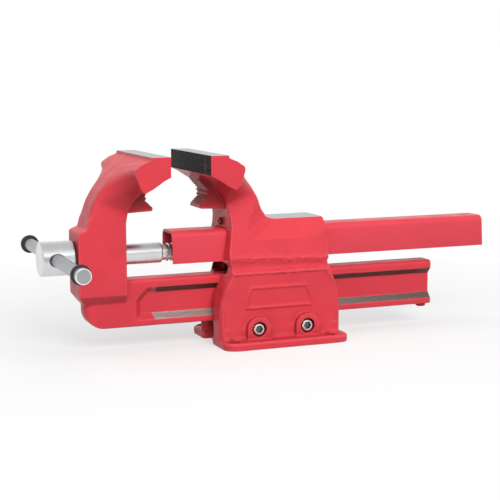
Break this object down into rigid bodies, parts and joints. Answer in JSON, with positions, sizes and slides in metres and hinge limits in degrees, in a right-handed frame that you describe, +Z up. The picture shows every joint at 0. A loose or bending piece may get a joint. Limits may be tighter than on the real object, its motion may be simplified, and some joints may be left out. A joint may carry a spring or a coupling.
{
  "type": "bench vise with pipe jaws",
  "caption": "Parallel bench vise with wide flat jaws, toothed pipe jaws under them, an anvil, a prism-guided sliding jaw and a screw turned by a tommy bar.",
  "frame": {"origin": "centre of the bench bolt pattern, on the underside of the bench flange", "axes": "+Z up from the bench; +X along the guide rail from the sliding front jaw to the fixed rear jaw; +Y across the jaws, so that the leg screws' heads are on the -Y side"},
  "size_m": [0.5775, 0.294, 0.232],
  "materials": {
    "red_paint": "semi-gloss red enamel over a forged surface",
    "jaw_steel": "hardened, dark, fine cross-hatch",
    "bright_steel": "turned and ground, satin",
    "dark_steel": "blackened",
    "nut_iron": "as machined",
    "black_rubber": "matt"
  },
  "bodies": {
    "fixed_body": {"rear_body": "red_paint", "rear_jaw_plate": "jaw_steel", "rear_jaw_dowels": "bright_steel", "spindle_nut": "nut_iron", "nut_screw_front": "dark_steel", "nut_screw_rear": "dark_steel", "spindle_cover": "red_paint", "cover_screw": "dark_steel", "guide_screw_front": "dark_steel", "guide_screw_rear": "dark_steel", "guide_nut_front": "bright_steel", "guide_nut_rear": "bright_steel"},
    "sliding_jaw": {"front_jaw": "red_paint", "front_jaw_plate": "jaw_steel", "front_jaw_dowels": "bright_steel", "rail_stop": "red_paint", "spindle_pin": "dark_steel", "thrust_washer": "bright_steel"},
    "spindle": {"spindle": "bright_steel"},
    "tommy_bar": {"tommy_bar": "bright_steel", "buffer_ring_near": "black_rubber", "buffer_ring_far": "black_rubber", "bar_cap_near": "bright_steel", "bar_cap_far": "bright_steel"}
  },
  "joints": [
    {"name": "jaw_slide", "type": "slide", "parent": "fixed_body", "child": "sliding_jaw", "axis": [1, 0, 0], "range_m": [-0.172, 0.0478]},
    {"name": "spindle_turn", "type": "hinge", "parent": "sliding_jaw", "child": "spindle", "pos_m": [0, 0, 0.1135], "axis": [1, 0, 0], "range_deg": [-12390, 3445]},
    {"name": "bar_slide", "type": "slide", "parent": "spindle", "child": "tommy_bar", "axis": [0, 1, 0], "range_m": [-0.112, 0.104]}
  ],
  "couplings": [
    {"joint": "spindle_turn", "follows": "jaw_slide", "rad_per_m": 1256.6}
  ]
}
